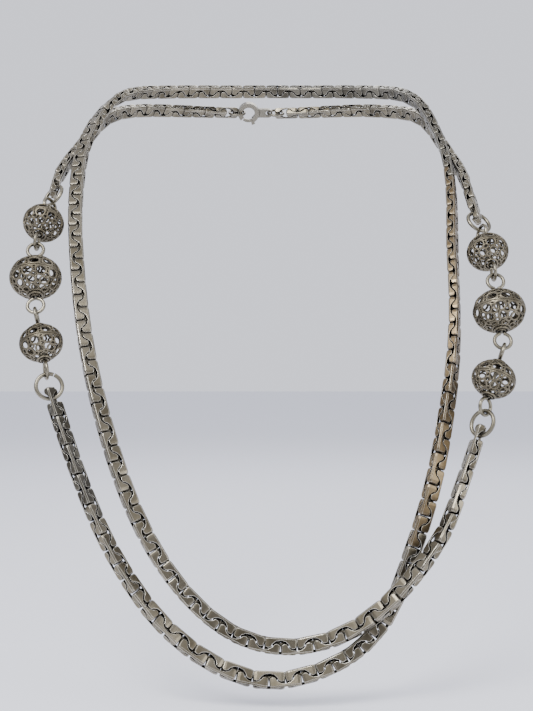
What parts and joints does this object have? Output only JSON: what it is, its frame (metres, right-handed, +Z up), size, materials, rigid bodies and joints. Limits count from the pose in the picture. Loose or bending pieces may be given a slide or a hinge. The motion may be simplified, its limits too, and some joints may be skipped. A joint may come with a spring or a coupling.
{
  "type": "chain necklace",
  "caption": "Long doubled chain necklace of interlocked plate links, with openwork beads on eye pins and rings at each side and a claw clasp at the nape; stored as it lies when worn.",
  "frame": {"origin": "middle of the neck opening, level with where the chains pass the sides of the neck", "axes": "+X to the wearer's left, which is the viewer's right, +Y towards the nape, +Z up; worn rest pose with the wearer facing -Y"},
  "size_m": [0.1742, 0.1565, 0.2217],
  "materials": {
    "chain_metal": "antique silver plate, polished high, darkened in the grooves",
    "bead_metal": "antique silver plate, openwork, darkened in the recesses",
    "wire_metal": "antique silver plate, satin",
    "clasp_metal": "antique silver plate, satin",
    "spring_wire": "bright drawn wire"
  },
  "bodies": {
    "neck": {"nape_long_chain_left": "chain_metal", "nape_long_chain_right": "chain_metal", "nape_short_chain_left": "chain_metal", "nape_short_chain_right": "chain_metal", "clasp_claw": "clasp_metal", "clasp_rivet": "clasp_metal", "clasp_spring": "spring_wire", "clasp_tag_ring": "clasp_metal", "clasp_swivel_ring": "clasp_metal"},
    "drop": {"left_hanger_chain": "chain_metal", "right_hanger_chain": "chain_metal", "left_inner_chain_1": "chain_metal", "right_inner_chain_1": "chain_metal"},
    "upper_bead": {"left_inner_chain_2": "chain_metal", "right_inner_chain_2": "chain_metal", "left_upper_eye_pin": "wire_metal", "right_upper_eye_pin": "wire_metal"},
    "middle_bead": {"left_inner_chain_3": "chain_metal", "right_inner_chain_3": "chain_metal", "left_middle_eye_pin": "wire_metal", "right_middle_eye_pin": "wire_metal"},
    "lower_bead": {"left_inner_chain_4": "chain_metal", "right_inner_chain_4": "chain_metal", "left_lower_eye_pin": "wire_metal", "right_lower_eye_pin": "wire_metal"},
    "front": {"left_inner_chain_5": "chain_metal", "left_outer_chain_5": "chain_metal", "right_front_chain_5": "chain_metal", "right_inner_chain_5": "chain_metal"},
    "loop": {"left_inner_chain_6": "chain_metal", "left_outer_chain_6": "chain_metal", "right_front_chain_6": "chain_metal", "right_inner_chain_6": "chain_metal"},
    "bottom": {"left_inner_chain_7": "chain_metal", "right_front_chain_7": "chain_metal", "back_loop_chain": "chain_metal"},
    "front_loop": {"front_loop_chain": "chain_metal"},
    "trigger": {"clasp_trigger": "clasp_metal"},
    "left_upper_shells": {"left_upper_bead_top": "bead_metal", "left_upper_bead_base": "bead_metal"},
    "left_middle_shells": {"left_middle_bead_top": "bead_metal", "left_middle_bead_base": "bead_metal"},
    "left_lower_shells": {"left_lower_bead_top": "bead_metal", "left_lower_bead_base": "bead_metal"},
    "left_upper_ring": {"left_upper_ring": "wire_metal"},
    "left_lower_ring": {"left_lower_ring": "wire_metal"},
    "right_upper_shells": {"right_upper_bead_top": "bead_metal", "right_upper_bead_base": "bead_metal"},
    "right_middle_shells": {"right_middle_bead_top": "bead_metal", "right_middle_bead_base": "bead_metal"},
    "right_lower_shells": {"right_lower_bead_top": "bead_metal", "right_lower_bead_base": "bead_metal"},
    "right_upper_ring": {"right_upper_ring": "wire_metal"},
    "right_lower_ring": {"right_lower_ring": "wire_metal"}
  },
  "joints": [
    {"name": "drop_flex", "type": "hinge", "parent": "neck", "child": "drop", "pos_m": [-0.001, -0.02889, -0.0315], "axis": [-1, 0, 0], "range_deg": [0, 4]},
    {"name": "upper_bead_flex", "type": "hinge", "parent": "drop", "child": "upper_bead", "pos_m": [-0.00098, -0.04223, -0.04698], "axis": [-0.9963, 0.0517, 0.0689], "range_deg": [0, 4]},
    {"name": "middle_bead_flex", "type": "hinge", "parent": "upper_bead", "child": "middle_bead", "pos_m": [-0.0012, -0.05913, -0.06456], "axis": [-0.9964, 0.047, 0.0709], "range_deg": [0, 2]},
    {"name": "lower_bead_flex", "type": "hinge", "parent": "middle_bead", "child": "lower_bead", "pos_m": [0.0004, -0.07102, -0.08811], "axis": [-0.9963, 0.0392, 0.0769], "range_deg": [0, 4]},
    {"name": "front_flex", "type": "hinge", "parent": "lower_bead", "child": "front", "pos_m": [-0.00089, -0.08063, -0.10943], "axis": [-0.996, 0.0352, 0.0821], "range_deg": [0, 4]},
    {"name": "loop_flex", "type": "hinge", "parent": "front", "child": "loop", "pos_m": [0.002, -0.08625, -0.1325], "axis": [-0.9969, 0.0226, 0.0748], "range_deg": [0, 4]},
    {"name": "bottom_flex", "type": "hinge", "parent": "loop", "child": "bottom", "pos_m": [0.002, -0.09093, -0.15075], "axis": [-0.9986, 0.0107, 0.0518], "range_deg": [0, 4]},
    {"name": "front_loop_lift", "type": "hinge", "parent": "bottom", "child": "front_loop", "pos_m": [0.006, -0.0943, -0.17375], "axis": [-0.9983, 0.005, 0.0582], "range_deg": [0, 4]},
    {"name": "clasp_trigger_hinge", "type": "hinge", "parent": "neck", "child": "trigger", "pos_m": [-0.00517, 0.05416, 0.00801], "axis": [-0.0352, 0.8477, 0.5293], "range_deg": [0, 7], "stiffness_Nm_per_rad": 0.002, "springref_deg": -11.46},
    {"name": "left_upper_bead_spin", "type": "hinge", "parent": "upper_bead", "child": "left_upper_shells", "pos_m": [-0.07864, -0.04684, -0.05033], "axis": [-0.0848, -0.7018, -0.7073], "continuous": true},
    {"name": "left_middle_bead_spin", "type": "hinge", "parent": "middle_bead", "child": "left_middle_shells", "pos_m": [-0.07838, -0.0617, -0.07055], "axis": [0.0977, -0.4743, -0.8749], "continuous": true},
    {"name": "left_lower_bead_spin", "type": "hinge", "parent": "lower_bead", "child": "left_lower_shells", "pos_m": [-0.07421, -0.07305, -0.09287], "axis": [0.2353, -0.4155, -0.8786], "continuous": true},
    {"name": "left_upper_ring_turn", "type": "hinge", "parent": "drop", "child": "left_upper_ring", "pos_m": [-0.0773, -0.03579, -0.03919], "axis": [0.5983, 0.6039, -0.5266], "continuous": true},
    {"name": "left_lower_ring_turn", "type": "hinge", "parent": "front", "child": "left_lower_ring", "pos_m": [-0.07053, -0.07862, -0.10701], "axis": [-0.2856, 0.907, -0.3094], "continuous": true},
    {"name": "right_upper_bead_spin", "type": "hinge", "parent": "upper_bead", "child": "right_upper_shells", "pos_m": [0.07646, -0.05452, -0.06121], "axis": [0.067, -0.6794, -0.7307], "continuous": true},
    {"name": "right_middle_bead_spin", "type": "hinge", "parent": "middle_bead", "child": "right_middle_shells", "pos_m": [0.07758, -0.06845, -0.08212], "axis": [0.0232, -0.4248, -0.905], "continuous": true},
    {"name": "right_lower_bead_spin", "type": "hinge", "parent": "lower_bead", "child": "right_lower_shells", "pos_m": [0.07372, -0.07859, -0.10466], "axis": [-0.3405, -0.37, -0.8644], "continuous": true},
    {"name": "right_upper_ring_turn", "type": "hinge", "parent": "drop", "child": "right_upper_ring", "pos_m": [0.0754, -0.04382, -0.0497], "axis": [0.3713, -0.7033, 0.6063], "continuous": true},
    {"name": "right_lower_ring_turn", "type": "hinge", "parent": "front", "child": "right_lower_ring", "pos_m": [0.06915, -0.08343, -0.11872], "axis": [-0.7005, -0.6292, 0.3368], "continuous": true}
  ]
}
